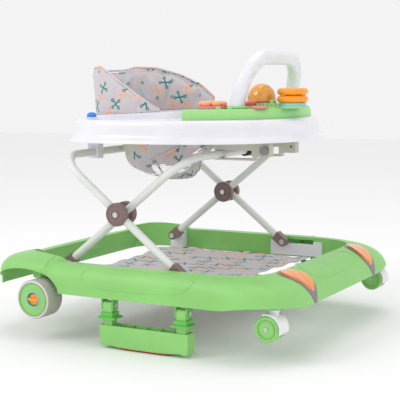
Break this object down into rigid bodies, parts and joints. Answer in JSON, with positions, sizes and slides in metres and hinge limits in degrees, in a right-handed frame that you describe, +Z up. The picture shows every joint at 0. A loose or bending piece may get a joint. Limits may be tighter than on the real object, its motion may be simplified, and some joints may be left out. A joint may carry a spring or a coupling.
{
  "type": "baby walker",
  "caption": "Folding baby walker: moulded base ring on casters and wheels, crossed tube legs, oval tray with fabric seat, toy panel, handle arch and drop-down stoppers.",
  "frame": {"origin": "middle of the footprint, on the floor that the stopper pads stand on", "axes": "+X the way the baby faces, +Y the baby's left, +Z up"},
  "size_m": [0.6759, 0.642, 0.575],
  "materials": {
    "green_plastic": "moulded satin",
    "white_plastic": "glossy moulded",
    "grey_plastic": "satin",
    "coated_steel": "powder coated",
    "brown_plastic": "satin",
    "bright_steel": "polished",
    "zinc_steel": "zinc plated",
    "amber_lens": "clear glossy",
    "mauve_plastic": "satin",
    "green_wheel": "glossy moulded",
    "tread": "textured",
    "orange_plastic": "glossy",
    "red_pad": "matt",
    "print_fabric": "printed polyester",
    "webbing": "woven",
    "teal_plastic": "glossy",
    "toy_green": "glossy",
    "rose_plastic": "glossy",
    "peach_plastic": "glossy",
    "pink_plastic": "glossy",
    "blue_plastic": "glossy"
  },
  "bodies": {
    "base": {"base_ring": "green_plastic", "slot_plates": "white_plastic", "rear_brackets": "white_plastic", "rear_foot_pins": "bright_steel", "mat_hooks": "green_plastic", "floor_mat": "print_fabric", "mat_straps": "webbing", "lamp_lenses": "amber_lens", "lamp_bezels": "mauve_plastic", "rear_axles": "zinc_steel", "wheel_hangers": "green_plastic", "caster_sockets": "green_plastic", "stopper_clevises": "green_plastic", "stopper_pins": "zinc_steel"},
    "inner_legs": {"inner_leg_frame": "coated_steel", "inner_foot_caps": "brown_plastic", "inner_pivot_discs": "brown_plastic"},
    "outer_legs": {"outer_leg_frame": "coated_steel", "outer_foot_caps": "brown_plastic", "slot_pins": "bright_steel", "outer_pivot_discs": "brown_plastic", "pivot_bolts": "bright_steel"},
    "tray": {"tray_shell": "white_plastic", "crossbar_clips": "white_plastic", "front_guides": "grey_plastic", "seat_sling": "print_fabric", "seat_back": "print_fabric", "toy_panel": "toy_green", "handle_arch": "white_plastic", "ring_post": "teal_plastic"},
    "caster_left": {"caster_fork_left": "white_plastic", "caster_axle_left": "bright_steel"},
    "caster_wheel_left_inner": {"caster_wheel_left_inner": "green_wheel"},
    "caster_wheel_left_outer": {"caster_wheel_left_outer": "green_wheel"},
    "rear_wheel_left": {"rear_tyre_left": "tread", "rear_hub_left": "green_wheel"},
    "brake_knob_left": {"brake_knob_left": "orange_plastic"},
    "stopper_left": {"stopper_bar_left": "green_plastic", "stopper_pad_left": "red_pad"},
    "collars_left": {"lock_collars_left": "green_wheel"},
    "caster_right": {"caster_fork_right": "white_plastic", "caster_axle_right": "bright_steel"},
    "caster_wheel_right_inner": {"caster_wheel_right_inner": "green_wheel"},
    "caster_wheel_right_outer": {"caster_wheel_right_outer": "green_wheel"},
    "rear_wheel_right": {"rear_tyre_right": "tread", "rear_hub_right": "green_wheel"},
    "brake_knob_right": {"brake_knob_right": "orange_plastic"},
    "stopper_right": {"stopper_bar_right": "green_plastic", "stopper_pad_right": "red_pad"},
    "collars_right": {"lock_collars_right": "green_wheel"},
    "dome": {"dome_roller": "amber_lens"},
    "gear": {"toy_gear": "toy_green"},
    "flower": {"flower_disc": "pink_plastic", "flower_petals": "peach_plastic"},
    "mirror": {"mirror_disc": "pink_plastic"},
    "ring_low": {"ring_lower": "orange_plastic"},
    "ring_high": {"ring_upper": "orange_plastic"},
    "red_button": {"red_button": "rose_plastic"},
    "tray_button": {"tray_button": "blue_plastic"},
    "lock_screw": {"lock_screw": "zinc_steel"}
  },
  "joints": [
    {"name": "leg_fold", "type": "hinge", "parent": "base", "child": "inner_legs", "pos_m": [-0.194, 0, 0.143], "axis": [0, 1, 0], "range_deg": [0, 23.5]},
    {"name": "leg_cross", "type": "hinge", "parent": "inner_legs", "child": "outer_legs", "pos_m": [-0.053, 0, 0.2549], "axis": [0, 1, 0], "range_deg": [-47, 0]},
    {"name": "tray_level", "type": "hinge", "parent": "outer_legs", "child": "tray", "pos_m": [-0.194, 0, 0.3668], "axis": [0, 1, 0], "range_deg": [0, 23.5]},
    {"name": "caster_left_swivel", "type": "hinge", "parent": "base", "child": "caster_left", "pos_m": [0.305, 0.268, 0.1], "axis": [0, 0, 1], "continuous": true},
    {"name": "caster_wheel_left_inner_spin", "type": "hinge", "parent": "caster_left", "child": "caster_wheel_left_inner", "pos_m": [0.296, 0.268, 0.0695], "axis": [0, 1, 0], "continuous": true},
    {"name": "caster_wheel_left_outer_spin", "type": "hinge", "parent": "caster_left", "child": "caster_wheel_left_outer", "pos_m": [0.296, 0.268, 0.0695], "axis": [0, 1, 0], "continuous": true},
    {"name": "rear_wheel_left_spin", "type": "hinge", "parent": "base", "child": "rear_wheel_left", "pos_m": [-0.206, 0.297, 0.0845], "axis": [0, 1, 0], "continuous": true},
    {"name": "brake_knob_left_turn", "type": "hinge", "parent": "rear_wheel_left", "child": "brake_knob_left", "pos_m": [-0.206, 0.315, 0.0845], "axis": [0, 1, 0], "range_deg": [0, 90]},
    {"name": "stopper_left_fold", "type": "hinge", "parent": "base", "child": "stopper_left", "pos_m": [0.042, 0.29, 0.084], "axis": [-1, 0, 0], "range_deg": [0, 88]},
    {"name": "collars_left_slide", "type": "slide", "parent": "stopper_left", "child": "collars_left", "axis": [0, 0, 1], "range_m": [-0.01, 0]},
    {"name": "caster_right_swivel", "type": "hinge", "parent": "base", "child": "caster_right", "pos_m": [0.305, -0.268, 0.1], "axis": [0, 0, 1], "continuous": true},
    {"name": "caster_wheel_right_inner_spin", "type": "hinge", "parent": "caster_right", "child": "caster_wheel_right_inner", "pos_m": [0.296, -0.268, 0.0695], "axis": [0, 1, 0], "continuous": true},
    {"name": "caster_wheel_right_outer_spin", "type": "hinge", "parent": "caster_right", "child": "caster_wheel_right_outer", "pos_m": [0.296, -0.268, 0.0695], "axis": [0, 1, 0], "continuous": true},
    {"name": "rear_wheel_right_spin", "type": "hinge", "parent": "base", "child": "rear_wheel_right", "pos_m": [-0.206, -0.297, 0.0845], "axis": [0, 1, 0], "continuous": true},
    {"name": "brake_knob_right_turn", "type": "hinge", "parent": "rear_wheel_right", "child": "brake_knob_right", "pos_m": [-0.206, -0.315, 0.0845], "axis": [0, 1, 0], "range_deg": [0, 90]},
    {"name": "stopper_right_fold", "type": "hinge", "parent": "base", "child": "stopper_right", "pos_m": [0.042, -0.29, 0.084], "axis": [1, 0, 0], "range_deg": [0, 88]},
    {"name": "collars_right_slide", "type": "slide", "parent": "stopper_right", "child": "collars_right", "axis": [0, 0, 1], "range_m": [-0.01, 0]},
    {"name": "dome_spin", "type": "hinge", "parent": "tray", "child": "dome", "pos_m": [0.158, -0.018, 0.47], "axis": [0, 0, 1], "continuous": true},
    {"name": "gear_spin", "type": "hinge", "parent": "tray", "child": "gear", "pos_m": [0.196, -0.068, 0.4615], "axis": [0, 0, 1], "continuous": true},
    {"name": "flower_spin", "type": "hinge", "parent": "tray", "child": "flower", "pos_m": [0.101, -0.122, 0.4615], "axis": [0, 0, 1], "continuous": true},
    {"name": "mirror_spin", "type": "hinge", "parent": "tray", "child": "mirror", "pos_m": [0.196, -0.107, 0.4615], "axis": [0, 0, 1], "continuous": true},
    {"name": "ring_low_spin", "type": "hinge", "parent": "tray", "child": "ring_low", "pos_m": [0.236, -0.038, 0.4777], "axis": [0, 0, 1], "continuous": true},
    {"name": "ring_high_spin", "type": "hinge", "parent": "tray", "child": "ring_high", "pos_m": [0.236, -0.038, 0.4926], "axis": [0, 0, 1], "continuous": true},
    {"name": "red_button_press", "type": "slide", "parent": "tray", "child": "red_button", "axis": [0, 0, -1], "range_m": [0, 0.003], "stiffness_N_per_m": 300},
    {"name": "tray_button_press", "type": "slide", "parent": "tray", "child": "tray_button", "axis": [0, 0, -1], "range_m": [0, 0.003], "stiffness_N_per_m": 300},
    {"name": "lock_screw_turn", "type": "hinge", "parent": "tray", "child": "lock_screw", "pos_m": [0.1904, -0.071, 0.376], "axis": [0, 1, 0], "continuous": true}
  ],
  "couplings": [
    {"joint": "leg_cross", "follows": "leg_fold", "ratio": -2},
    {"joint": "tray_level", "follows": "leg_fold", "ratio": 1}
  ]
}
